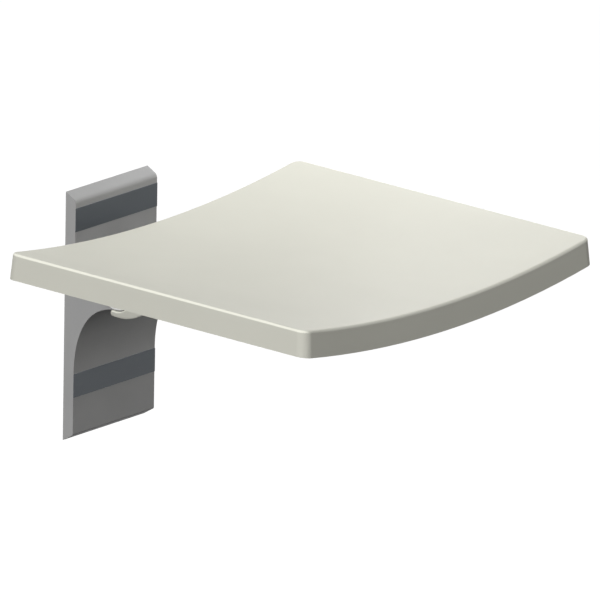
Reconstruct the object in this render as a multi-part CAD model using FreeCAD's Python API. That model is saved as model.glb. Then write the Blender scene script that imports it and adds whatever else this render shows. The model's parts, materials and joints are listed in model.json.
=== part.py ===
# Fold down wall seat: a dished seat hooked on a hinge nose of a wall bracket.
# X runs along the wall, the wall is the plane Y = 0, the seat stands out along -Y, Z is up.
# The origin is the centre of the four wall screw holes, on the wall.
# In the sizes below, OUT is the distance out from the wall and UP the height above
# the lowest edge of the bracket. All lengths are in millimetres.

import FreeCAD, Part
import math
import os

Vector = FreeCAD.Vector

# Wall bracket: one extruded profile, seen from its end
BRACKET_WIDTH = 126.0
BRACKET_HEIGHT = 264.2
PLATE_THICKNESS = 13.3
TOP_SLANT = 6.8
FOOT_SLANT = 8.3
TOP_FRONT_RADIUS = 6.0
BOTTOM_FRONT_RADIUS = 1.5
CHAMBER_WALL = 3.0
CHAMBER_RADIUS = 1.5
MIDDLE_CHAMBER_TOP_UP = 118.0
UPPER_CHAMBER_HEIGHT = 40.0
ROOT_CHAMBER_FLOOR_OUT = 16.5
ROOT_CHAMBER_FRONT_OUT = 26.5
ROOT_CHAMBER_BEND_UP = 138.0

# Curved underside of the bracket's neck
CURVE_ABOVE_STRIP = 0.2
CURVE_LOW_PULL = 32.0
CURVE_HIGH_PULL = 51.5
NECK_TOP_UP = 162.0
NECK_ROOT_RADIUS = 5.0
NECK_WALL = 4.5

# Hinge
AXIS_OUT = 75.0
AXIS_UP = 179.5
NOSE_RADIUS = 26.0
AXLE_RADIUS = 8.0
AXLE_CLEARANCE = 0.05
TRUNNION_RADIUS = 21.5
TRUNNION_LIP_RADIUS = 23.9
TRUNNION_LIP = 1.5
TRUNNION_CHAMFER = 0.6
TRUNNION_RECESS = 2.0
SLEEVE_RADIUS = 24.6
SLEEVE_FIT = 0.05
HOOK_CLEARANCE = 0.08
AXLE_END_SHORT = 0.5

# Shelf that carries the stop pads
SHELF_END_OUT = 145.0
SHELF_TOP_UP = 188.0
SHELF_TIP = 8.0
SHELF_TIP_RADIUS = 3.2
SHELF_WALL = 4.0
SHELF_CHAMBER_START_OUT = 104.0
SHELF_CHAMBER_END_OUT = 131.0

# Wall screw holes, in the middle of the cover strips
HOLE_SPACING_ALONG = 80.0
LOWER_HOLES_ABOVE_FOOT = 60.3
UPPER_HOLES_BELOW_TOP = 27.9
WALL_HOLE_RADIUS = 3.25
WALL_HOLE_HEAD_RADIUS = 6.6
WALL_HOLE_HEAD_DEPTH = 4.0

# Cover strips: a tongue in the profile's groove and a thin face over its full width
STRIP_HEIGHT = 25.0
STRIP_FACE = 0.6
STRIP_LIP = 1.5
GROOVE_DEPTH = 2.4
STRIP_CLEARANCE = 0.1
STRIP_EDGE_RADIUS = 0.3

# End caps and the pegs that hold them in the chambers
CAP_THICKNESS = 3.0
PEG_LENGTH = 8.0
PEG_CLEARANCE = 0.2

# Stop pads and rest bumper
PAD_RADIUS = 10.0
PAD_THICKNESS = 6.0
PAD_CHAMFER = 1.0
PAD_PEG_RADIUS = 3.0
PAD_SPACING = 80.0
PAD_OUT = 130.0
STOP_CLEARANCE = 0.2
BUMPER_WIDTH = 40.0
BUMPER_HEIGHT = 7.0
BUMPER_STRIP_GAP = 19.8
BUMPER_EDGE_RADIUS = 1.5
BUMPER_PEG_SPACING = 24.0

# Seat shell
SEAT_WIDTH = 450.0
SEAT_DEPTH = 397.5
SEAT_BACK_OUT = 61.6
SEAT_SIDE_UP = 249.8
SEAT_HEIGHT = 28.4
SEAT_DISH = 19.0
SEAT_DRAFT = 4.3
SEAT_CORNER_RADIUS = 10.8
SEAT_EDGE_RADIUS = 2.9
SEAT_SKIN = 4.5
RIB_DEPTH = 10.5
RIB_THICKNESS = 2.5
RIB_PITCH = 45.0
RIB_ROOT = 1.0
NOTCH_WIDTH = 156.0
NOTCH_CLEARANCE = 2.5
BOSS_RADIUS = 7.0

# Hook arms under the seat
ARM_THICKNESS = 8.0
ARM_SIDE_GAP = 1.0
ARM_RIB_GAP = 0.4
FLANGE_WIDTH = 30.0
FLANGE_THICKNESS = 4.0
FLANGE_CORNER_RADIUS = 2.5
ARM_BEAM_HEIGHT = 13.5
ARM_END_HEIGHT = 7.5
ARM_END_OUT = 430.0
ARM_TAPER_LENGTH = 50.0
LIP_BACK_OUT = 69.0
HOOK_TIP_ANGLE = -100.0
HOOK_TIP_OVERHANG = 1.6
HOOK_BACK_RADIUS = 56.2
HOOK_BACK_OUT = 80.0
HOOK_BACK_UP = 205.0
HOOK_FILLET = 14.0
HOOK_EDGE_RADIUS = 1.6

# Cross bars between the arms
BAR_DEPTH = 28.0
BAR_THICKNESS = 8.0
FRONT_BAR_OUT = 399.0
BAR_SCREW_SPACING = 16.0
BAR_SCREW_RADIUS = 2.4
BAR_SCREW_HEAD_RADIUS = 3.8
BAR_SCREW_HEAD = 2.8
BAR_SCREW_GRIP = 12.0

# Screws, washers, nuts
SCREW_CLEARANCE = 0.1
SCREW_TIP_ROOM = 0.5
FLANGE_HOLE_CLEARANCE = 0.4
SEAT_SCREW_RADIUS = 2.9
SEAT_SCREW_HEAD_RADIUS = 4.8
SEAT_SCREW_HEAD = 3.8
SEAT_SCREW_GRIP = 6.5
SEAT_SCREW_SIDE = 9.5
SEAT_SCREW_OUTS = (165.0, 365.0)
WASHER_RADIUS = 5.0
WASHER_THICKNESS = 1.2
LEVEL_SCREW_RADIUS = 4.0
LEVEL_NUT_SIZE = 13.0
LEVEL_NUT_THICKNESS = 4.0
LEVEL_HEAD = 5.3
LEVEL_END = 1.5
AXLE_SCREW_RADIUS = 3.0
AXLE_SCREW_HEAD_RADIUS = 11.0
AXLE_SCREW_HEAD = 3.0
AXLE_SCREW_HEAD_CHAMFER = 1.0
AXLE_SCREW_GRIP = 14.0
HEX_KEY_SIZE = 4.0
HEX_KEY_DEPTH = 1.6

# How far a cutting shape reaches past the face that it opens
CUT_ROOM = 1.0

# Sizes that follow from the ones above
HALF_BRACKET = BRACKET_WIDTH / 2
HALF_PROFILE = HALF_BRACKET - CAP_THICKNESS
HALF_SEAT = SEAT_WIDTH / 2
LOWER_STRIP_UP = LOWER_HOLES_ABOVE_FOOT
UPPER_STRIP_UP = BRACKET_HEIGHT - UPPER_HOLES_BELOW_TOP
HOLE_CENTRE_UP = (LOWER_STRIP_UP + UPPER_STRIP_UP) / 2
BUMPER_UP = UPPER_STRIP_UP - (STRIP_HEIGHT + BUMPER_HEIGHT) / 2 - BUMPER_STRIP_GAP
CURVE_START_UP = LOWER_STRIP_UP + STRIP_HEIGHT / 2 + CURVE_ABOVE_STRIP
NOSE_BOTTOM_UP = AXIS_UP - NOSE_RADIUS
HOOK_RADIUS = SLEEVE_RADIUS + HOOK_CLEARANCE
ARM_INNER = HALF_BRACKET + ARM_SIDE_GAP
ARM_OUTER = ARM_INNER + ARM_THICKNESS
ARM_MIDDLE = (ARM_INNER + ARM_OUTER) / 2
TRUNNION_END = ARM_OUTER - TRUNNION_RECESS
SLEEVE_END = TRUNNION_END - TRUNNION_LIP
DISH_RADIUS = (HALF_SEAT ** 2 + SEAT_DISH ** 2) / (2 * SEAT_DISH)
SEAT_MIDDLE_UP = SEAT_SIDE_UP - SEAT_DISH
SEAT_SIDE_BOTTOM_UP = SEAT_SIDE_UP - SEAT_HEIGHT
SEAT_MIDDLE_BOTTOM_UP = SEAT_MIDDLE_UP - SEAT_HEIGHT
SEAT_CENTRE_OUT = SEAT_BACK_OUT + SEAT_DEPTH / 2


def sag(x):
    """Rise of the dished surface at a distance x from its middle line."""
    return DISH_RADIUS - math.sqrt(DISH_RADIUS ** 2 - x ** 2)


FLANGE_INNER = ARM_MIDDLE - FLANGE_WIDTH / 2
RIB_BOTTOM_UP = SEAT_MIDDLE_UP - SEAT_SKIN - RIB_DEPTH
ARM_TOP_UP = RIB_BOTTOM_UP + sag(FLANGE_INNER) - ARM_RIB_GAP
FLANGE_BOTTOM_UP = ARM_TOP_UP - FLANGE_THICKNESS
ARM_BOTTOM_UP = ARM_TOP_UP - ARM_BEAM_HEIGHT
BAR_BOTTOM_UP = FLANGE_BOTTOM_UP - BAR_THICKNESS
BAR_MIDDLE_UP = FLANGE_BOTTOM_UP - BAR_THICKNESS / 2
PAD_TOP_UP = SHELF_TOP_UP + PAD_THICKNESS
GROOVE_FLOOR_OUT = PLATE_THICKNESS - GROOVE_DEPTH
GROOVE_HALF = STRIP_HEIGHT / 2 - STRIP_LIP + STRIP_CLEARANCE


def place(x, out, up):
    """A point from its distance along and out from the wall and its height."""
    return Vector(x, -out, up - HOLE_CENTRE_UP)


class Outline:
    """A closed outline in a plane square to X, drawn with (out, up) points."""

    def __init__(self, out, up):
        self.start = place(0, out, up)
        self.end = self.start
        self.edges = []

    def line(self, out, up):
        point = place(0, out, up)
        self.edges.append(Part.LineSegment(self.end, point).toShape())
        self.end = point
        return self

    def arc(self, middle, last):
        middle_point = place(0, *middle)
        last_point = place(0, *last)
        self.edges.append(Part.Arc(self.end, middle_point, last_point).toShape())
        self.end = last_point
        return self

    def curve(self, first_pull, second_pull, last):
        poles = [self.end, place(0, *first_pull), place(0, *second_pull), place(0, *last)]
        bezier = Part.BezierCurve()
        bezier.setPoles(poles)
        self.edges.append(bezier.toShape())
        self.end = poles[-1]
        return self

    def wire(self):
        if self.end.distanceToPoint(self.start) > 1e-6:
            self.edges.append(Part.LineSegment(self.end, self.start).toShape())
        return Part.Wire(self.edges)

    def extrude(self, x_from, x_to):
        face = Part.Face(self.wire())
        face.translate(Vector(x_from, 0, 0))
        return face.extrude(Vector(x_to - x_from, 0, 0))


def on_circle(centre, radius, degrees):
    """A point on a circle in the (out, up) plane."""
    angle = math.radians(degrees)
    return (centre[0] + radius * math.cos(angle), centre[1] + radius * math.sin(angle))


def slab(x_from, x_to, out_from, out_to, up_from, up_to):
    """A plain block between three pairs of planes."""
    corner = place(x_from, out_to, up_from)
    return Part.makeBox(x_to - x_from, out_to - out_from, up_to - up_from, corner)


def pin_along(x_from, x_to, out, up, radius):
    """A cylinder along X."""
    return Part.makeCylinder(radius, x_to - x_from, place(x_from, out, up), Vector(1, 0, 0))


def pin_up(x, out, up_from, up_to, radius):
    """An upright cylinder."""
    return Part.makeCylinder(radius, up_to - up_from, place(x, out, up_from), Vector(0, 0, 1))


def pin_out(x, up, out_from, out_to, radius):
    """A cylinder that points out from the wall."""
    return Part.makeCylinder(radius, out_to - out_from, place(x, out_from, up), Vector(0, -1, 0))


def edges_where(shape, test):
    """The edges of a shape whose middle point passes a test."""
    chosen = []
    for edge in shape.Edges:
        first, last = edge.ParameterRange
        if test(edge.valueAt((first + last) / 2), edge):
            chosen.append(edge)
    return chosen


def long_edges(shape, out, up, reach=0.2):
    """The edges along X that pass near a point of the section."""
    target = place(0, out, up)

    def near(point, edge):
        straight = abs(edge.BoundBox.XLength - edge.Length) < 1e-6
        gap = math.hypot(point.y - target.y, point.z - target.z)
        return straight and edge.Length > 1 and gap < reach

    return edges_where(shape, near)


def hexagon(x, out, up, across, thickness):
    """An upright hexagonal prism."""
    corner_radius = across / math.sqrt(3)
    points = []
    for step in range(7):
        angle = math.radians(60 * step)
        point = place(x + corner_radius * math.cos(angle), out + corner_radius * math.sin(angle), up)
        points.append(point)
    return Part.Face(Part.makePolygon(points)).extrude(Vector(0, 0, thickness))


def nose_tangent_angle():
    """Angle on the nose where the flat underside of the shelf leaves it."""
    run = SHELF_END_OUT - AXIS_OUT
    rise = SHELF_TOP_UP - SHELF_TIP - AXIS_UP
    slope = math.degrees(math.atan2(rise, run))
    return slope - math.degrees(math.acos(NOSE_RADIUS / math.hypot(run, rise)))


def nose_angle_at(up):
    """Angle on the nose's front side where it reaches a height."""
    return math.degrees(math.asin((up - AXIS_UP) / NOSE_RADIUS))


def bracket_outline():
    """The outer line of the bracket's section, without its grooves."""
    axis = (AXIS_OUT, AXIS_UP)
    leave = nose_tangent_angle()
    shelf_angle = nose_angle_at(SHELF_TOP_UP)
    neck_angle = 180 - nose_angle_at(NECK_TOP_UP)
    outline = Outline(0, 0)
    outline.line(PLATE_THICKNESS, FOOT_SLANT)
    outline.line(PLATE_THICKNESS, CURVE_START_UP)
    outline.curve(
        (PLATE_THICKNESS, CURVE_START_UP + CURVE_LOW_PULL),
        (AXIS_OUT - CURVE_HIGH_PULL, NOSE_BOTTOM_UP),
        (AXIS_OUT, NOSE_BOTTOM_UP),
    )
    outline.arc(on_circle(axis, NOSE_RADIUS, (leave - 90) / 2), on_circle(axis, NOSE_RADIUS, leave))
    outline.line(SHELF_END_OUT, SHELF_TOP_UP - SHELF_TIP)
    outline.line(SHELF_END_OUT, SHELF_TOP_UP)
    outline.line(*on_circle(axis, NOSE_RADIUS, shelf_angle))
    outline.arc(on_circle(axis, NOSE_RADIUS, 90), on_circle(axis, NOSE_RADIUS, neck_angle))
    outline.line(PLATE_THICKNESS, NECK_TOP_UP)
    outline.line(PLATE_THICKNESS, BRACKET_HEIGHT - TOP_SLANT)
    outline.line(0, BRACKET_HEIGHT)
    return outline


def bracket_body(x_from, x_to):
    """A slice of the bracket's outer form with its rounded edges."""
    body = bracket_outline().extrude(x_from, x_to)
    body = body.makeFillet(TOP_FRONT_RADIUS, long_edges(body, PLATE_THICKNESS, BRACKET_HEIGHT - TOP_SLANT))
    body = body.makeFillet(BOTTOM_FRONT_RADIUS, long_edges(body, PLATE_THICKNESS, FOOT_SLANT))
    tip_edges = long_edges(body, SHELF_END_OUT, SHELF_TOP_UP)
    tip_edges += long_edges(body, SHELF_END_OUT, SHELF_TOP_UP - SHELF_TIP)
    body = body.makeFillet(SHELF_TIP_RADIUS, tip_edges)
    return body.makeFillet(NECK_ROOT_RADIUS, long_edges(body, PLATE_THICKNESS, NECK_TOP_UP))


def chamber_shapes(x_from, x_to, clearance=0.0):
    """The hollow chambers of the section, or the pegs that fill their ends."""
    inner = CHAMBER_WALL + clearance
    front = PLATE_THICKNESS - CHAMBER_WALL - clearance
    spans = (
        (FOOT_SLANT + CHAMBER_WALL, LOWER_STRIP_UP - GROOVE_HALF - CHAMBER_WALL),
        (LOWER_STRIP_UP + GROOVE_HALF + CHAMBER_WALL, MIDDLE_CHAMBER_TOP_UP),
        (NECK_TOP_UP + NECK_WALL, NECK_TOP_UP + NECK_WALL + UPPER_CHAMBER_HEIGHT),
    )
    shapes = []
    for low, high in spans:
        shapes.append(slab(x_from, x_to, inner, front, low + clearance, high - clearance))
    shapes.append(root_chamber(clearance).extrude(x_from, x_to))
    shapes.append(shelf_chamber(clearance).extrude(x_from, x_to))
    rounded = []
    for shape in shapes:
        corners = edges_where(shape, lambda point, edge: abs(edge.BoundBox.XLength - (x_to - x_from)) < 1e-6)
        rounded.append(shape.makeFillet(CHAMBER_RADIUS, corners))
    return rounded


def root_chamber(clearance):
    """The chamber where the neck grows out of the plate."""
    low = MIDDLE_CHAMBER_TOP_UP + CHAMBER_WALL + clearance
    high = NECK_TOP_UP - NECK_WALL - clearance
    inner = CHAMBER_WALL + clearance
    outer = ROOT_CHAMBER_FRONT_OUT - clearance
    outline = Outline(inner, low)
    outline.line(ROOT_CHAMBER_FLOOR_OUT - clearance, low)
    outline.line(outer, ROOT_CHAMBER_BEND_UP)
    outline.line(outer, high)
    outline.line(inner, high)
    return outline


def shelf_chamber(clearance):
    """The chamber inside the shelf, under the stop pads."""
    leave = on_circle((AXIS_OUT, AXIS_UP), NOSE_RADIUS, nose_tangent_angle())
    slope = (SHELF_TOP_UP - SHELF_TIP - leave[1]) / (SHELF_END_OUT - leave[0])
    start = SHELF_CHAMBER_START_OUT + clearance
    end = SHELF_CHAMBER_END_OUT - clearance
    top = SHELF_TOP_UP - SHELF_WALL - clearance
    wall = SHELF_WALL * math.hypot(1, slope) + clearance
    outline = Outline(start, leave[1] + slope * (start - leave[0]) + wall)
    outline.line(end, leave[1] + slope * (end - leave[0]) + wall)
    outline.line(end, top)
    outline.line(start, top)
    return outline


def bracket_profile():
    """The extruded profile with its strip grooves, wall holes, hinge bore and pad holes."""
    half = HALF_PROFILE
    body = bracket_body(-half, half)
    cuts = chamber_shapes(-half, half)
    cuts.append(pin_along(-half, half, AXIS_OUT, AXIS_UP, AXLE_RADIUS + AXLE_CLEARANCE))
    for up in (LOWER_STRIP_UP, UPPER_STRIP_UP):
        front = PLATE_THICKNESS + CUT_ROOM
        groove = slab(-half, half, GROOVE_FLOOR_OUT, front, up - GROOVE_HALF, up + GROOVE_HALF)
        cuts.append(groove)
        for x in (-HOLE_SPACING_ALONG / 2, HOLE_SPACING_ALONG / 2):
            cuts.append(pin_out(x, up, 0, PLATE_THICKNESS, WALL_HOLE_RADIUS))
            seat_out = GROOVE_FLOOR_OUT - WALL_HOLE_HEAD_DEPTH
            cuts.append(pin_out(x, up, seat_out, PLATE_THICKNESS, WALL_HOLE_HEAD_RADIUS))
    peg_hole_radius = PAD_PEG_RADIUS + SCREW_CLEARANCE
    for x in (-PAD_SPACING / 2, PAD_SPACING / 2):
        hole_up = SHELF_TOP_UP - SHELF_WALL
        cuts.append(pin_up(x, PAD_OUT, hole_up, SHELF_TOP_UP + CUT_ROOM, peg_hole_radius))
    for x in (-BUMPER_PEG_SPACING / 2, BUMPER_PEG_SPACING / 2):
        hole_out = PLATE_THICKNESS - CHAMBER_WALL
        cuts.append(pin_out(x, BUMPER_UP, hole_out, PLATE_THICKNESS + CUT_ROOM, peg_hole_radius))
    return body.cut(cuts)


def end_cap(side):
    """A cap over one end of the profile, with pegs that press into the chambers."""
    outer = side * HALF_BRACKET
    inner = side * HALF_PROFILE
    peg_end = side * (HALF_PROFILE - PEG_LENGTH)
    cap = bracket_body(min(outer, inner), max(outer, inner))
    for peg in chamber_shapes(min(inner, peg_end), max(inner, peg_end), PEG_CLEARANCE):
        cap = cap.fuse(peg)
    hole = pin_along(-HALF_BRACKET, HALF_BRACKET, AXIS_OUT, AXIS_UP, AXLE_RADIUS + AXLE_CLEARANCE)
    return cap.cut(hole)


def cover_strip(up):
    """A strip that snaps in over two wall screws, with a face as wide as the bracket."""
    low = up - STRIP_HEIGHT / 2
    high = up + STRIP_HEIGHT / 2
    front = PLATE_THICKNESS + STRIP_FACE
    face = slab(-HALF_BRACKET, HALF_BRACKET, PLATE_THICKNESS, front, low, high)
    front_edges = long_edges(face, front, low) + long_edges(face, front, high)
    face = face.makeFillet(STRIP_EDGE_RADIUS, front_edges)
    half = HALF_PROFILE - STRIP_CLEARANCE
    tongue_half = STRIP_HEIGHT / 2 - STRIP_LIP
    tongue = slab(-half, half, GROOVE_FLOOR_OUT, PLATE_THICKNESS, up - tongue_half, up + tongue_half)
    return face.fuse(tongue)


def hinge_axle():
    """The steel axle, long enough to carry a trunnion at each end."""
    end = TRUNNION_END - AXLE_END_SHORT
    axle = pin_along(-end, end, AXIS_OUT, AXIS_UP, AXLE_RADIUS)
    for side in (-1, 1):
        bottom = side * (end - AXLE_SCREW_GRIP)
        hole_radius = AXLE_SCREW_RADIUS + SCREW_CLEARANCE
        hole = pin_along(min(bottom, side * end), max(bottom, side * end), AXIS_OUT, AXIS_UP, hole_radius)
        axle = axle.cut(hole)
    return axle


def trunnion(side):
    """The round end piece on the axle that the seat's hook turns on."""
    end = TRUNNION_END
    body = pin_along(HALF_BRACKET, end, AXIS_OUT, AXIS_UP, TRUNNION_RADIUS)
    body = body.fuse(pin_along(SLEEVE_END, end, AXIS_OUT, AXIS_UP, TRUNNION_LIP_RADIUS)).removeSplitter()
    rim = edges_where(body, lambda point, edge: edge.BoundBox.XMin > end - 1e-6
                      and edge.BoundBox.ZLength > 2 * TRUNNION_RADIUS)
    body = body.makeChamfer(TRUNNION_CHAMFER, rim)
    bore = pin_along(HALF_BRACKET, end, AXIS_OUT, AXIS_UP, AXLE_RADIUS + AXLE_CLEARANCE)
    return mirrored(body.cut(bore), side)


def trunnion_sleeve(side):
    """The plain bearing ring between a trunnion and a hook."""
    body = pin_along(HALF_BRACKET, SLEEVE_END, AXIS_OUT, AXIS_UP, SLEEVE_RADIUS)
    body = body.cut(pin_along(HALF_BRACKET, SLEEVE_END, AXIS_OUT, AXIS_UP, TRUNNION_RADIUS + SLEEVE_FIT))
    return mirrored(body, side)


def trunnion_screw(side):
    """The broad-headed screw that clamps a trunnion on the end of the axle."""
    face = TRUNNION_END + AXLE_SCREW_HEAD
    tip = TRUNNION_END - AXLE_SCREW_GRIP
    head = pin_along(TRUNNION_END, face, AXIS_OUT, AXIS_UP, AXLE_SCREW_HEAD_RADIUS)
    rim = edges_where(head, lambda point, edge: edge.BoundBox.XMin > face - 1e-6)
    head = head.makeChamfer(AXLE_SCREW_HEAD_CHAMFER, rim)
    body = head.fuse(pin_along(tip, TRUNNION_END, AXIS_OUT, AXIS_UP, AXLE_SCREW_RADIUS))
    return mirrored(body.cut(key_socket_along(face)), side)


def key_socket_along(face_x):
    """The hexagonal socket in a screw head that faces along X."""
    socket = hexagon(0, 0, HOLE_CENTRE_UP, HEX_KEY_SIZE, HEX_KEY_DEPTH)
    socket.rotate(Vector(0, 0, 0), Vector(0, 1, 0), 90)
    socket.translate(place(face_x - HEX_KEY_DEPTH, AXIS_OUT, AXIS_UP))
    return socket


def mirrored(shape, side):
    """The right hand shape itself, or its mirror image on the left."""
    if side > 0:
        return shape
    return shape.mirror(Vector(0, 0, 0), Vector(1, 0, 0))


def stop_pad(side):
    """A rubber pad on the shelf, held by its peg."""
    x = side * PAD_SPACING / 2
    pad = pin_up(x, PAD_OUT, SHELF_TOP_UP, PAD_TOP_UP, PAD_RADIUS)
    top_rim = edges_where(pad, lambda point, edge: edge.BoundBox.ZMin > place(0, 0, PAD_TOP_UP).z - 1e-6)
    pad = pad.makeChamfer(PAD_CHAMFER, top_rim)
    return pad.fuse(pin_up(x, PAD_OUT, SHELF_TOP_UP - SHELF_WALL, SHELF_TOP_UP, PAD_PEG_RADIUS))


def folded_seat_out(x):
    """Distance from the wall to the seat's top surface when it is folded up."""
    return AXIS_OUT - (SEAT_MIDDLE_UP + sag(x) - AXIS_UP)


def rest_bumper():
    """The rubber bumper on the plate that the folded seat leans on."""
    half = BUMPER_WIDTH / 2
    front = folded_seat_out(half) - STOP_CLEARANCE
    low = BUMPER_UP - BUMPER_HEIGHT / 2
    high = BUMPER_UP + BUMPER_HEIGHT / 2
    bumper = slab(-half, half, PLATE_THICKNESS, front, low, high)
    front_edges = long_edges(bumper, front, low) + long_edges(bumper, front, high)
    bumper = bumper.makeFillet(BUMPER_EDGE_RADIUS, front_edges)
    for x in (-BUMPER_PEG_SPACING / 2, BUMPER_PEG_SPACING / 2):
        peg_start = PLATE_THICKNESS - CHAMBER_WALL
        bumper = bumper.fuse(pin_out(x, BUMPER_UP, peg_start, PLATE_THICKNESS, PAD_PEG_RADIUS))
    return bumper


def seat_outline(up, inset):
    """The rounded rectangle of the drafted seat wall at a height."""
    lean = (up - SEAT_SIDE_BOTTOM_UP) * math.tan(math.radians(SEAT_DRAFT)) + inset
    half = HALF_SEAT - lean
    back = SEAT_BACK_OUT + lean
    front = SEAT_BACK_OUT + SEAT_DEPTH - lean
    radius = SEAT_CORNER_RADIUS - inset
    middle = radius * (1 - math.sqrt(0.5))
    edges = []
    corners = ((half, front, 1, -1), (-half, front, -1, -1), (-half, back, -1, 1), (half, back, 1, 1))
    arcs = []
    for x, out, x_sign, out_sign in corners:
        beside = place(x, out + out_sign * radius, up)
        across = place(x - x_sign * radius, out, up)
        centre = place(x - x_sign * middle, out + out_sign * middle, up)
        ends = (beside, across) if x_sign * out_sign < 0 else (across, beside)
        arcs.append((ends[0], centre, ends[1]))
    for index, (first, centre, last) in enumerate(arcs):
        edges.append(Part.Arc(first, centre, last).toShape())
        edges.append(Part.LineSegment(last, arcs[(index + 1) % 4][0]).toShape())
    return Part.Wire(edges)


def seat_block(inset):
    """A tall drafted block with the seat's plan, wider at its foot."""
    low = SEAT_MIDDLE_BOTTOM_UP - 2 * SEAT_HEIGHT
    high = SEAT_SIDE_UP + SEAT_HEIGHT
    return Part.makeLoft([seat_outline(low, inset), seat_outline(high, inset)], True, True)


def dished_slab(top_drop, bottom_drop):
    """The layer between two surfaces parallel to the dished seat top."""
    reach = HALF_SEAT + 2 * SEAT_HEIGHT
    rise = sag(reach)
    top = SEAT_MIDDLE_UP - top_drop
    bottom = SEAT_MIDDLE_UP - bottom_drop
    near = SEAT_BACK_OUT - SEAT_HEIGHT
    top_arc = Part.Arc(place(-reach, near, top + rise), place(0, near, top), place(reach, near, top + rise))
    low_arc = Part.Arc(
        place(reach, near, bottom + rise), place(0, near, bottom), place(-reach, near, bottom + rise)
    )
    sides = (
        Part.LineSegment(top_arc.EndPoint, low_arc.StartPoint),
        Part.LineSegment(low_arc.EndPoint, top_arc.StartPoint),
    )
    edges = [top_arc.toShape(), sides[0].toShape(), low_arc.toShape(), sides[1].toShape()]
    return Part.Face(Part.Wire(edges)).extrude(Vector(0, -(SEAT_DEPTH + 2 * SEAT_HEIGHT), 0))


def seat_ribs():
    """The crossed ribs under the skin."""
    walls = []
    low = SEAT_MIDDLE_BOTTOM_UP
    high = SEAT_SIDE_UP
    half_rib = RIB_THICKNESS / 2
    back = SEAT_BACK_OUT - SEAT_SKIN
    front = SEAT_BACK_OUT + SEAT_DEPTH + SEAT_SKIN
    across_count = int(SEAT_WIDTH / 2 / RIB_PITCH + 0.5)
    for index in range(across_count):
        for side in (-1, 1):
            x = side * (index + 0.5) * RIB_PITCH
            walls.append(slab(x - half_rib, x + half_rib, back, front, low, high))
    along_count = int((SEAT_DEPTH - RIB_PITCH / 2) / 2 / RIB_PITCH)
    for index in range(-along_count, along_count + 1):
        out = SEAT_CENTRE_OUT + index * RIB_PITCH
        walls.append(slab(-HALF_SEAT, HALF_SEAT, out - half_rib, out + half_rib, low, high))
    grid = walls[0].fuse(walls[1:])
    layer = dished_slab(SEAT_SKIN - RIB_ROOT, SEAT_SKIN + RIB_DEPTH)
    return grid.common(layer).common(seat_block(SEAT_SKIN - RIB_ROOT))


def seat_screw_places():
    """Where the screws hold the seat shell on the arms, along and out."""
    places = []
    for side in (-1, 1):
        for offset in (-SEAT_SCREW_SIDE, SEAT_SCREW_SIDE):
            for out in SEAT_SCREW_OUTS:
                places.append((side * (ARM_MIDDLE + offset), out))
    return places


def seat_shell():
    """The moulded seat: a dished skin, a drafted skirt, ribs and screw bosses."""
    shell = seat_block(0).common(dished_slab(0, SEAT_HEIGHT))
    broad_faces = sorted(shell.Faces, key=lambda face: face.Area)[-2:]
    top = max(broad_faces, key=lambda face: face.CenterOfMass.z)
    shell = shell.makeFillet(SEAT_EDGE_RADIUS, top.OuterWire.Edges)
    room = seat_block(SEAT_SKIN).common(dished_slab(SEAT_SKIN, 2 * SEAT_HEIGHT))
    shell = shell.cut(room).fuse(seat_ribs())
    for x, out in seat_screw_places():
        skin_up = SEAT_MIDDLE_UP + sag(x) - SEAT_SKIN + RIB_ROOT
        shell = shell.fuse(pin_up(x, out, ARM_TOP_UP, skin_up, BOSS_RADIUS))
    for x, out in seat_screw_places():
        hole_top = ARM_TOP_UP + SEAT_SCREW_GRIP + SCREW_TIP_ROOM
        hole_radius = SEAT_SCREW_RADIUS + SCREW_CLEARANCE
        shell = shell.cut(pin_up(x, out, ARM_TOP_UP - CUT_ROOM, hole_top, hole_radius))
    notch_top = AXIS_UP + NOSE_RADIUS + NOTCH_CLEARANCE
    half = NOTCH_WIDTH / 2
    notch_front = SEAT_BACK_OUT + 2 * SEAT_SKIN
    notch = slab(-half, half, 0, notch_front, SEAT_MIDDLE_BOTTOM_UP - SEAT_HEIGHT, notch_top)
    return shell.cut(notch).removeSplitter()


def hook_outline():
    """The side view of a hook arm: hook, throat and tapering beam."""
    axis = (AXIS_OUT, AXIS_UP)
    back = (HOOK_BACK_OUT, HOOK_BACK_UP)
    inner_tip = on_circle(axis, HOOK_RADIUS, HOOK_TIP_ANGLE)
    tip_angle = math.degrees(math.asin((inner_tip[0] - HOOK_BACK_OUT) / HOOK_BACK_RADIUS)) - 90
    outer_tip = on_circle(back, HOOK_BACK_RADIUS, tip_angle)
    tip_middle = (inner_tip[0] - HOOK_TIP_OVERHANG, (inner_tip[1] + outer_tip[1]) / 2)
    join_angle = math.degrees(math.asin((ARM_BOTTOM_UP - HOOK_BACK_UP) / HOOK_BACK_RADIUS))
    outline = Outline(*inner_tip)
    outline.arc(on_circle(axis, HOOK_RADIUS, 0), on_circle(axis, HOOK_RADIUS, 90))
    outline.line(LIP_BACK_OUT, AXIS_UP + HOOK_RADIUS)
    outline.line(LIP_BACK_OUT, ARM_TOP_UP)
    outline.line(ARM_END_OUT, ARM_TOP_UP)
    outline.line(ARM_END_OUT, ARM_TOP_UP - ARM_END_HEIGHT)
    outline.line(ARM_END_OUT - ARM_TAPER_LENGTH, ARM_BOTTOM_UP)
    outline.line(*on_circle(back, HOOK_BACK_RADIUS, join_angle))
    outline.arc(on_circle(back, HOOK_BACK_RADIUS, (join_angle + tip_angle) / 2), outer_tip)
    outline.arc(tip_middle, inner_tip)
    return outline


def hook_rim(web):
    """The outer edges of the web, from the hook's throat round its tip to the beam's end."""
    top = place(0, 0, FLANGE_BOTTOM_UP).z

    def on_rim(point, edge):
        return edge.BoundBox.XMin > ARM_OUTER - 1e-6 and point.z < top - HOOK_EDGE_RADIUS

    return edges_where(web, on_rim)


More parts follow.
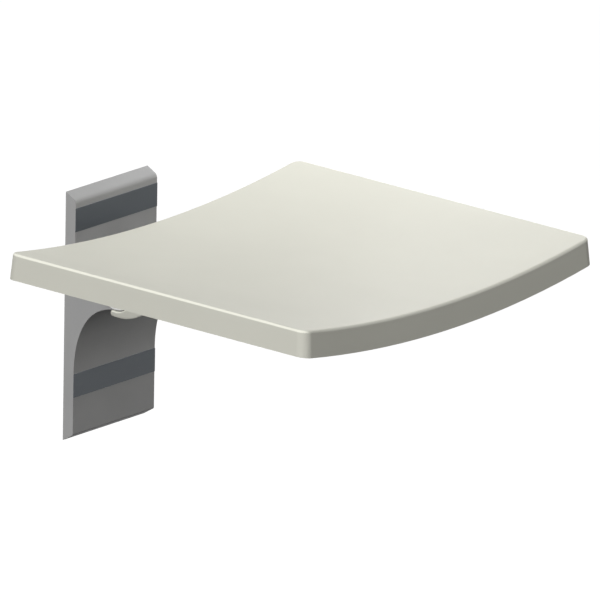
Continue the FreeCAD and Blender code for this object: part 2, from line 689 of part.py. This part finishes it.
def hook_arm(side):
    """A cast arm: the hook on the trunnion and the flanged beam under the seat."""
    web = hook_outline().extrude(ARM_INNER, ARM_OUTER)
    join_out = HOOK_BACK_OUT + math.sqrt(HOOK_BACK_RADIUS ** 2 - (ARM_BOTTOM_UP - HOOK_BACK_UP) ** 2)
    web = web.makeFillet(HOOK_FILLET, long_edges(web, join_out, ARM_BOTTOM_UP))
    web = web.makeFillet(HOOK_EDGE_RADIUS, hook_rim(web))
    flange_outer = ARM_MIDDLE + FLANGE_WIDTH / 2
    flange = slab(FLANGE_INNER, flange_outer, LIP_BACK_OUT, ARM_END_OUT, FLANGE_BOTTOM_UP, ARM_TOP_UP)
    upright = edges_where(flange, lambda point, edge: abs(edge.BoundBox.ZLength - FLANGE_THICKNESS) < 1e-6)
    arm = web.fuse(flange.makeFillet(FLANGE_CORNER_RADIUS, upright)).removeSplitter()
    for x, out in seat_screw_places():
        hole_radius = SEAT_SCREW_RADIUS + FLANGE_HOLE_CLEARANCE
        hole = pin_up(x, out, FLANGE_BOTTOM_UP - CUT_ROOM, ARM_TOP_UP + CUT_ROOM, hole_radius)
        arm = arm.cut(hole)
    for out in bar_screw_outs():
        hole_radius = BAR_SCREW_RADIUS + SCREW_CLEARANCE
        arm = arm.cut(pin_along(ARM_INNER, ARM_OUTER, out, BAR_MIDDLE_UP, hole_radius))
    return mirrored(arm, side)


def bar_screw_outs():
    """Distances out from the wall of the screws into the ends of both bars."""
    outs = []
    for bar_out in (PAD_OUT, FRONT_BAR_OUT):
        outs.append(bar_out - BAR_SCREW_SPACING / 2)
        outs.append(bar_out + BAR_SCREW_SPACING / 2)
    return outs


def cross_bar(out):
    """A flat bar between the arms, with screw holes in its ends."""
    bar = slab(
        -ARM_INNER, ARM_INNER, out - BAR_DEPTH / 2, out + BAR_DEPTH / 2, BAR_BOTTOM_UP, FLANGE_BOTTOM_UP
    )
    for side in (-1, 1):
        for offset in (-BAR_SCREW_SPACING / 2, BAR_SCREW_SPACING / 2):
            bottom = ARM_INNER - BAR_SCREW_GRIP - SCREW_TIP_ROOM
            hole_radius = BAR_SCREW_RADIUS + SCREW_CLEARANCE
            hole = pin_along(bottom, ARM_INNER, out + offset, BAR_MIDDLE_UP, hole_radius)
            bar = bar.cut(mirrored(hole, side))
    return bar


def rear_cross_bar():
    """The bar over the shelf, which the levelling screws pass through."""
    bar = cross_bar(PAD_OUT)
    for x in (-PAD_SPACING / 2, PAD_SPACING / 2):
        hole_radius = LEVEL_SCREW_RADIUS + SCREW_CLEARANCE
        bar = bar.cut(pin_up(x, PAD_OUT, BAR_BOTTOM_UP, FLANGE_BOTTOM_UP, hole_radius))
    return bar


def cross_bar_screws():
    """The screws through the arms into the ends of the bars."""
    screws = []
    for side in (-1, 1):
        for out in bar_screw_outs():
            shank = pin_along(ARM_INNER - BAR_SCREW_GRIP, ARM_OUTER, out, BAR_MIDDLE_UP, BAR_SCREW_RADIUS)
            head = pin_along(ARM_OUTER, ARM_OUTER + BAR_SCREW_HEAD, out, BAR_MIDDLE_UP, BAR_SCREW_HEAD_RADIUS)
            screws.append(mirrored(shank.fuse(head), side))
    return Part.makeCompound(screws)


def seat_screws():
    """The screws up through the flanges into the bosses of the shell."""
    screws = []
    head_top = FLANGE_BOTTOM_UP - WASHER_THICKNESS
    for x, out in seat_screw_places():
        head = pin_up(x, out, head_top - SEAT_SCREW_HEAD, head_top, SEAT_SCREW_HEAD_RADIUS)
        socket = hexagon(x, out, head_top - SEAT_SCREW_HEAD, HEX_KEY_SIZE, HEX_KEY_DEPTH)
        shank = pin_up(x, out, head_top, ARM_TOP_UP + SEAT_SCREW_GRIP, SEAT_SCREW_RADIUS)
        screws.append(head.fuse(shank).cut(socket))
    return Part.makeCompound(screws)


def seat_washers():
    """A washer under each seat screw."""
    washers = []
    low = FLANGE_BOTTOM_UP - WASHER_THICKNESS
    for x, out in seat_screw_places():
        disc = pin_up(x, out, low, FLANGE_BOTTOM_UP, WASHER_RADIUS)
        hole = pin_up(x, out, low, FLANGE_BOTTOM_UP, SEAT_SCREW_RADIUS + SCREW_CLEARANCE)
        washers.append(disc.cut(hole))
    return Part.makeCompound(washers)


def levelling_screws():
    """The screws in the rear bar that set the height of the seat's front."""
    screws = []
    foot = PAD_TOP_UP + STOP_CLEARANCE
    for x in (-PAD_SPACING / 2, PAD_SPACING / 2):
        head = hexagon(x, PAD_OUT, foot, LEVEL_NUT_SIZE, LEVEL_HEAD)
        shank = pin_up(x, PAD_OUT, foot + LEVEL_HEAD, FLANGE_BOTTOM_UP + LEVEL_END, LEVEL_SCREW_RADIUS)
        screws.append(head.fuse(shank))
    return Part.makeCompound(screws)


def lock_nuts():
    """The nuts that lock the levelling screws under the rear bar."""
    nuts = []
    low = BAR_BOTTOM_UP - LEVEL_NUT_THICKNESS
    for x in (-PAD_SPACING / 2, PAD_SPACING / 2):
        nut = hexagon(x, PAD_OUT, low, LEVEL_NUT_SIZE, LEVEL_NUT_THICKNESS)
        hole = pin_up(x, PAD_OUT, low, BAR_BOTTOM_UP, LEVEL_SCREW_RADIUS + SCREW_CLEARANCE)
        nuts.append(nut.cut(hole))
    return Part.makeCompound(nuts)


def build():
    """Every piece of the seat under its own name."""
    return {
        "bracket_profile": bracket_profile(),
        "end_cap_left": end_cap(-1),
        "end_cap_right": end_cap(1),
        "upper_cover_strip": cover_strip(UPPER_STRIP_UP),
        "lower_cover_strip": cover_strip(LOWER_STRIP_UP),
        "hinge_axle": hinge_axle(),
        "trunnion_left": trunnion(-1),
        "trunnion_right": trunnion(1),
        "trunnion_sleeve_left": trunnion_sleeve(-1),
        "trunnion_sleeve_right": trunnion_sleeve(1),
        "trunnion_screws": Part.makeCompound([trunnion_screw(-1), trunnion_screw(1)]),
        "stop_pad_left": stop_pad(-1),
        "stop_pad_right": stop_pad(1),
        "rest_bumper": rest_bumper(),
        "seat_shell": seat_shell(),
        "hook_arm_left": hook_arm(-1),
        "hook_arm_right": hook_arm(1),
        "rear_cross_bar": rear_cross_bar(),
        "front_cross_bar": cross_bar(FRONT_BAR_OUT),
        "cross_bar_screws": cross_bar_screws(),
        "seat_screws": seat_screws(),
        "seat_washers": seat_washers(),
        "levelling_screws": levelling_screws(),
        "lock_nuts": lock_nuts(),
    }


def main():
    os.makedirs("parts", exist_ok=True)
    for name, shape in build().items():
        print(name, len(shape.Solids), "solids", round(shape.Volume), "mm3", "valid", shape.isValid())
        shape.exportStep("parts/" + name + ".step")


main()
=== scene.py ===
# Looks of the fold down wall seat. All lengths are in metres, in the part's own frame:
# X along the wall, the wall at Y = 0, the seat stands out along -Y, Z up.

import json
import math

import bpy
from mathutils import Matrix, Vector


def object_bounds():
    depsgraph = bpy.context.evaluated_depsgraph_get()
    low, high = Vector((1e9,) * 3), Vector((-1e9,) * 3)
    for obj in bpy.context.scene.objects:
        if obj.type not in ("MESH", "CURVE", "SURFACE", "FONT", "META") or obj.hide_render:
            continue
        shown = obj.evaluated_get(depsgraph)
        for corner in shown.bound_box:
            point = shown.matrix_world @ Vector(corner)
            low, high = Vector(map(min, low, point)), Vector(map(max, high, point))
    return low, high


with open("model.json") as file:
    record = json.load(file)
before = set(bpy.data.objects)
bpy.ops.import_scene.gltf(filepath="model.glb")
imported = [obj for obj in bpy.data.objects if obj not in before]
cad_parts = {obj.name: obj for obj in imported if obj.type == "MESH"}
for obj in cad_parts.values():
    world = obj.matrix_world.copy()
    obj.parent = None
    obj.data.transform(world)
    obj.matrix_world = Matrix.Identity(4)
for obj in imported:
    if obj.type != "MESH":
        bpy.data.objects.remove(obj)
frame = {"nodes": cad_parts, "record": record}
cad_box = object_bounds()

# Camera: read off the photo's three edge directions, nearly without perspective
CAMERA_TURN = math.radians(49.56)
CAMERA_RISE = math.radians(17.17)
CAMERA_ROLL = 0.0154
PHOTO_WIDTH = 0.6073
LENS = 1700.0
SENSOR = 36.0
SIGHT = 200
# The bracket's lowest left corner on the wall, and where it lies from the photo's centre
CORNER = Vector((-0.063, 0.0, -0.1483))
CORNER_RIGHT = -0.2391
CORNER_UP = -0.1462

FLOOR_HEIGHT = -0.39
FLOOR_SIZE = 60
FLOOR_GREY = 0.8
FLOOR_GLOW = 1.14
# How much of what the camera sees of the floor is its glow; the rest takes shadows
FLOOR_GLOW_SHARE = 0.85
# What the floor throws back on the seat
FLOOR_DULL_GREY = 0.04

# Light: each lamp's direction, size, distance, level and whether it casts shadows.
# The levels were fitted to the shades of the faces in the photo. The far lamps stand on the
# left and in front, and the two near ones over the seat's far right side. Most of the far
# ones cast no shadow, as the photo shows none on the bracket under the seat.
KEY_DIRECTION = (-0.57, -0.08, 0.985)
LAMP_TARGET = Vector((0.0, -0.22, 0.05))
LAMPS = (
    ("key", KEY_DIRECTION, 2.4, 12.0, 0.16, True),
    ("fill", KEY_DIRECTION, 2.4, 12.0, 0.10, False),
    ("upper_left", (-0.78, -0.1, 0.62), 2.4, 12.0, 0.19, False),
    ("left", (-1.0, -0.1, 0.15), 2.4, 12.0, 0.33, False),
    ("front", (-0.1, -1.0, 0.85), 2.4, 12.0, 0.21, False),
    ("far_right", (0.75, 0.2, 0.30), 0.4, 0.7, 0.56, True),
    ("over", (0.25, 0.45, 0.55), 0.4, 0.75, 0.10, True),
)
AMBIENT = 0.11

BLACK = (0, 0, 0)
WHITE = (1, 1, 1)


def stand(thing, axes, place):
    """Puts a camera or lamp at a place, with its own X, Y and Z along three directions."""
    matrix = thing.matrix_world.copy()
    for column, axis in enumerate(axes):
        for row in range(3):
            matrix[row][column] = axis[row]
    for row in range(3):
        matrix[row][3] = place[row]
    thing.matrix_world = matrix


def camera_axes():
    """The camera's right, up and backward directions before its roll."""
    ca, sa = math.cos(CAMERA_TURN), math.sin(CAMERA_TURN)
    ce, se = math.cos(CAMERA_RISE), math.sin(CAMERA_RISE)
    right = Vector((ca, -sa, 0))
    up = Vector((sa * se, ca * se, ce))
    back = Vector((-sa * ce, -ca * ce, se))
    return right, up, back


def add_camera():
    """The photo's camera, as far back as its long lens asks for."""
    right, up, back = camera_axes()
    centre = CORNER - right * CORNER_RIGHT - up * CORNER_UP
    low, high = (Vector(corner) for corner in cad_box)
    depth = ((low + high) / 2 - centre).dot(back)
    centre += back * depth
    roll_right = right * math.cos(CAMERA_ROLL) + up * math.sin(CAMERA_ROLL)
    roll_up = up * math.cos(CAMERA_ROLL) - right * math.sin(CAMERA_ROLL)
    data = bpy.data.cameras.new("camera")
    data.type = "PERSP"
    data.lens = LENS
    data.sensor_width = SENSOR
    data.clip_end = SIGHT
    camera = bpy.data.objects.new("camera", data)
    bpy.context.scene.collection.objects.link(camera)
    place = centre + back * (PHOTO_WIDTH * LENS / SENSOR)
    stand(camera, (roll_right, roll_up, back), place)
    bpy.context.scene.camera = camera


class Finish:
    """A material built from shader nodes."""

    def __init__(self, name, roughness, metallic=0.0):
        self.material = bpy.data.materials.new(name)
        self.material.use_nodes = True
        self.nodes = self.material.node_tree.nodes
        self.links = self.material.node_tree.links
        self.shader = self.nodes["Principled BSDF"]
        self.shader.inputs["Roughness"].default_value = roughness
        self.shader.inputs["Metallic"].default_value = metallic
        self.place = self.nodes.new("ShaderNodeTexCoord").outputs["Object"]
        self.normal = None

    def stretched(self, scale):
        mapping = self.nodes.new("ShaderNodeMapping")
        mapping.inputs["Scale"].default_value = scale
        self.links.new(self.place, mapping.inputs["Vector"])
        return mapping.outputs["Vector"]

    def noise(self, scale, detail=2.0, stretch=(1, 1, 1)):
        node = self.nodes.new("ShaderNodeTexNoise")
        node.inputs["Scale"].default_value = scale
        node.inputs["Detail"].default_value = detail
        self.links.new(self.stretched(stretch), node.inputs["Vector"])
        return node.outputs["Fac"]

    def ramp(self, value, stops):
        node = self.nodes.new("ShaderNodeValToRGB")
        node.color_ramp.elements[0].position = stops[0][0]
        node.color_ramp.elements[1].position = stops[-1][0]
        for position, _ in stops[1:-1]:
            node.color_ramp.elements.new(position)
        for element, (_, color) in zip(node.color_ramp.elements, stops):
            element.color = (*color, 1)
        self.links.new(value, node.inputs["Fac"])
        return node.outputs["Color"]

    def spread(self, value, low, high, start=0.0):
        node = self.nodes.new("ShaderNodeMapRange")
        node.inputs["From Min"].default_value = start
        node.inputs["To Min"].default_value = low
        node.inputs["To Max"].default_value = high
        self.links.new(value, node.inputs["Value"])
        return node.outputs["Result"]

    def color(self, value, dark, light):
        self.links.new(self.ramp(value, ((0.3, dark), (0.7, light))), self.shader.inputs["Base Color"])

    def blend(self, mask, below, above):
        """The colour below, and the one above where the mask is 1."""
        node = self.nodes.new("ShaderNodeMix")
        node.data_type = "RGBA"
        self.links.new(mask, node.inputs["Factor"])
        self.links.new(below, node.inputs["A"])
        node.inputs["B"].default_value = (*above, 1)
        self.links.new(node.outputs["Result"], self.shader.inputs["Base Color"])

    def facing(self, axis):
        """The part of the surface's direction that points along one axis of the piece."""
        parts = self.nodes.new("ShaderNodeSeparateXYZ")
        self.links.new(self.nodes["Texture Coordinate"].outputs["Normal"], parts.inputs["Vector"])
        return parts.outputs[axis]

    def calculate(self, operation, *values):
        node = self.nodes.new("ShaderNodeMath")
        node.operation = operation
        for value, socket in zip(values, node.inputs):
            self.links.new(value, socket)
        return node.outputs["Value"]

    def painted_highlight_edges(self):
        """Mask for a painted highlight: 1 on the rounded edges round the top, by how steeply the surface
        faces up.
        """
        upward = self.ramp(self.facing("Z"), ((0.22, BLACK), (0.4, WHITE), (0.85, WHITE), (0.96, BLACK)))
        sideways = self.calculate("ABSOLUTE", self.facing("X"))
        beside = self.ramp(sideways, ((0.15, BLACK), (0.4, WHITE)))
        return self.calculate("MULTIPLY", upward, beside)

    def painted_shade_underside(self):
        """Mask for painted shade: 1 where the surface faces down, 0 on upright and upper faces."""
        downward = self.spread(self.facing("Z"), 1.0, 0.0, start=-1.0)
        return self.ramp(downward, ((0.65, BLACK), (0.95, WHITE)))

    def painted_highlight_rim(self):
        """Mask for a painted highlight: 1 on the rounded rim of a plate that stands square to X."""
        sideways = self.calculate("ABSOLUTE", self.facing("X"))
        return self.ramp(sideways, ((0.1, BLACK), (0.3, WHITE), (0.85, WHITE), (0.97, BLACK)))

    def rough(self, value, low, high):
        self.links.new(self.spread(value, low, high), self.shader.inputs["Roughness"])

    def bump(self, value, height, strength=1.0):
        node = self.nodes.new("ShaderNodeBump")
        node.inputs["Distance"].default_value = height
        node.inputs["Strength"].default_value = strength
        self.links.new(value, node.inputs["Height"])
        if self.normal:
            self.links.new(self.normal, node.inputs["Normal"])
        self.normal = node.outputs["Normal"]
        self.links.new(self.normal, self.shader.inputs["Normal"])

    def set(self, socket, value):
        self.shader.inputs[socket].default_value = value


def shade(color, amount):
    """The same colour, lighter or darker."""
    return tuple(channel * amount for channel in color)


def seat_plastic():
    """Satin cream plastic, with a painted highlight on its rounded edges."""
    finish = Finish("seat_plastic", 0.35)
    cream = (0.725, 0.72, 0.638)
    edge = finish.painted_highlight_edges()
    grain = finish.ramp(finish.noise(9, 3), ((0.3, shade(cream, 0.985)), (0.7, shade(cream, 1.015))))
    # Painted highlight: the rounded edges are coloured paler than the cream.
    finish.blend(edge, grain, shade(cream, 1.37))
    finish.rough(finish.noise(60, 4, (1, 0.15, 1)), 0.5, 0.6)
    finish.bump(finish.noise(2600, 1), 0.00003, 0.5)
    finish.bump(finish.noise(28, 1), 0.0002, 0.10)
    finish.set("Specular IOR Level", 0.1)
    return finish.material


def arm_paint():
    """Cream powder coat, with a painted highlight on its rounded rim."""
    finish = Finish("arm_paint", 0.4)
    cream = (0.68, 0.677, 0.605)
    grain = finish.ramp(finish.noise(30, 3), ((0.3, shade(cream, 0.97)), (0.7, shade(cream, 1.02))))
    # Painted highlight: the rounded rim is coloured paler than the cream.
    finish.blend(finish.painted_highlight_rim(), grain, shade(cream, 1.3))
    finish.rough(finish.noise(300, 2), 0.34, 0.46)
    finish.bump(finish.noise(900, 2), 0.00006, 0.5)
    finish.set("Specular IOR Level", 0.15)
    return finish.material


def bracket_paint(name):
    """Satin grey powder coat, with painted shade where it faces down."""
    finish = Finish(name, 0.45)
    grey = (0.432, 0.432, 0.431)
    grain = finish.ramp(finish.noise(22, 3), ((0.3, shade(grey, 0.97)), (0.7, shade(grey, 1.03))))
    # Painted shade: faces that point down are coloured darker than the grey.
    finish.blend(finish.painted_shade_underside(), grain, shade(grey, 0.6))
    finish.rough(finish.noise(400, 2), 0.42, 0.55)
    finish.bump(finish.noise(1100, 2), 0.00005, 0.5)
    finish.set("Specular IOR Level", 0.05)
    return finish.material


def strip_plastic():
    finish = Finish("strip_plastic", 0.5)
    slate = (0.098, 0.112, 0.126)
    finish.color(finish.noise(40, 3, (0.2, 1, 1)), shade(slate, 0.95), shade(slate, 1.05))
    finish.rough(finish.noise(500, 2), 0.45, 0.6)
    finish.bump(finish.noise(1400, 1), 0.00004, 0.5)
    return finish.material


def sleeve_plastic():
    finish = Finish("sleeve_plastic", 0.4)
    dark = (0.045, 0.045, 0.047)
    finish.color(finish.noise(200, 2), shade(dark, 0.8), shade(dark, 1.2))
    finish.rough(finish.noise(300, 2), 0.3, 0.45)
    finish.bump(finish.noise(1200, 1), 0.00003, 0.4)
    return finish.material


def stop_rubber():
    finish = Finish("stop_rubber", 0.8)
    black = (0.022, 0.022, 0.022)
    finish.color(finish.noise(300, 3), shade(black, 0.7), shade(black, 1.6))
    finish.rough(finish.noise(250, 2), 0.7, 0.9)
    finish.bump(finish.noise(1500, 2), 0.0001, 0.6)
    return finish.material


def bare_steel():
    finish = Finish("bare_steel", 0.3, 1.0)
    zinc = (0.56, 0.565, 0.56)
    finish.color(finish.noise(120, 4), shade(zinc, 0.85), shade(zinc, 1.08))
    finish.rough(finish.noise(700, 2, (0.1, 1, 1)), 0.24, 0.42)
    finish.bump(finish.noise(900, 2, (0.05, 1, 1)), 0.00003, 0.5)
    return finish.material


def bare_aluminium():
    finish = Finish("bare_aluminium", 0.35, 1.0)
    alloy = (0.60, 0.60, 0.59)
    finish.color(finish.noise(80, 3), shade(alloy, 0.9), shade(alloy, 1.05))
    finish.rough(finish.noise(900, 2), 0.3, 0.42)
    finish.bump(finish.noise(1500, 1), 0.00002, 0.5)
    return finish.material


def dress_nodes():
    """Every piece of the construction gets the finish of its slot."""
    finishes = {
        "bracket_paint": bracket_paint("bracket_paint"),
        "cap_plastic": bracket_paint("cap_plastic"),
        "strip_plastic": strip_plastic(),
        "bare_steel": bare_steel(),
        "bare_aluminium": bare_aluminium(),
        "sleeve_plastic": sleeve_plastic(),
        "stop_rubber": stop_rubber(),
        "seat_plastic": seat_plastic(),
        "arm_paint": arm_paint(),
    }
    for subpart in frame["record"]["subparts"]:
        node = frame["nodes"][subpart["node"]]
        node.data.materials.clear()
        node.data.materials.append(finishes[subpart["material_slot"]])


def add_lamp(name, direction, size, distance, level, shadows):
    """A square lamp that faces the seat from a direction and lights a facing surface at a level."""
    data = bpy.data.lights.new(name, "AREA")
    data.shape = "RECTANGLE"
    data.size = size
    data.size_y = size
    data.energy = level * (math.pi * distance) ** 2
    data.use_shadow = shadows
    lamp = bpy.data.objects.new(name, data)
    bpy.context.scene.collection.objects.link(lamp)
    back = Vector(direction).normalized()
    side = Vector((0, 0, 1)).cross(back).normalized()
    stand(lamp, (side, back.cross(side), back), LAMP_TARGET + back * distance)


def add_world():
    """White to the camera and in reflections, a weak light on everything else."""
    world = bpy.data.worlds.new("studio")
    bpy.context.scene.world = world
    world.use_nodes = True
    nodes, links = world.node_tree.nodes, world.node_tree.links
    sky = nodes["Background"]
    sky.inputs["Color"].default_value = (1, 1, 1, 1)
    sky.inputs["Strength"].default_value = AMBIENT
    white = nodes.new("ShaderNodeBackground")
    white.inputs["Color"].default_value = (1, 1, 1, 1)
    white.inputs["Strength"].default_value = 1.0
    mix = nodes.new("ShaderNodeMixShader")
    links.new(seen_ray(nodes, links), mix.inputs["Fac"])
    links.new(sky.outputs["Background"], mix.inputs[1])
    links.new(white.outputs["Background"], mix.inputs[2])
    links.new(mix.outputs["Shader"], nodes["World Output"].inputs["Surface"])


def seen_ray(nodes, links):
    """1 for what the camera sees directly, in a mirror or through glass."""
    path = nodes.new("ShaderNodeLightPath")
    value = path.outputs["Is Camera Ray"]
    for name in ("Is Glossy Ray", "Is Transmission Ray"):
        either = nodes.new("ShaderNodeMath")
        either.operation = "MAXIMUM"
        links.new(value, either.inputs[0])
        links.new(path.outputs[name], either.inputs[1])
        value = either.outputs["Value"]
    return value


def add_floor():
    """A floor that is white where it isn't in shadow, and dull to all but the seen rays."""
    bpy.ops.mesh.primitive_plane_add(size=FLOOR_SIZE, location=(0, 0, FLOOR_HEIGHT))
    floor = bpy.context.object
    floor.name = "floor"
    material = bpy.data.materials.new("floor")
    material.use_nodes = True
    nodes, links = material.node_tree.nodes, material.node_tree.links
    shader = nodes["Principled BSDF"]
    shader.inputs["Base Color"].default_value = (FLOOR_GREY, FLOOR_GREY, FLOOR_GREY, 1)
    shader.inputs["Roughness"].default_value = 1.0
    shader.inputs["Specular IOR Level"].default_value = 0.0
    glow = nodes.new("ShaderNodeEmission")
    glow.inputs["Strength"].default_value = FLOOR_GLOW
    dim = nodes.new("ShaderNodeBsdfDiffuse")
    dim.inputs["Color"].default_value = (FLOOR_DULL_GREY, FLOOR_DULL_GREY, FLOOR_DULL_GREY, 1)
    seen = nodes.new("ShaderNodeMixShader")
    seen.inputs["Fac"].default_value = FLOOR_GLOW_SHARE
    links.new(shader.outputs["BSDF"], seen.inputs[1])
    links.new(glow.outputs["Emission"], seen.inputs[2])
    mix = nodes.new("ShaderNodeMixShader")
    links.new(seen_ray(nodes, links), mix.inputs["Fac"])
    links.new(dim.outputs["BSDF"], mix.inputs[1])
    links.new(seen.outputs["Shader"], mix.inputs[2])
    links.new(mix.outputs["Shader"], nodes["Material Output"].inputs["Surface"])
    floor.data.materials.append(material)


bpy.context.scene.view_settings.view_transform = "Standard"
add_camera()
add_world()
for lamp in LAMPS:
    add_lamp(*lamp)
add_floor()
dress_nodes()
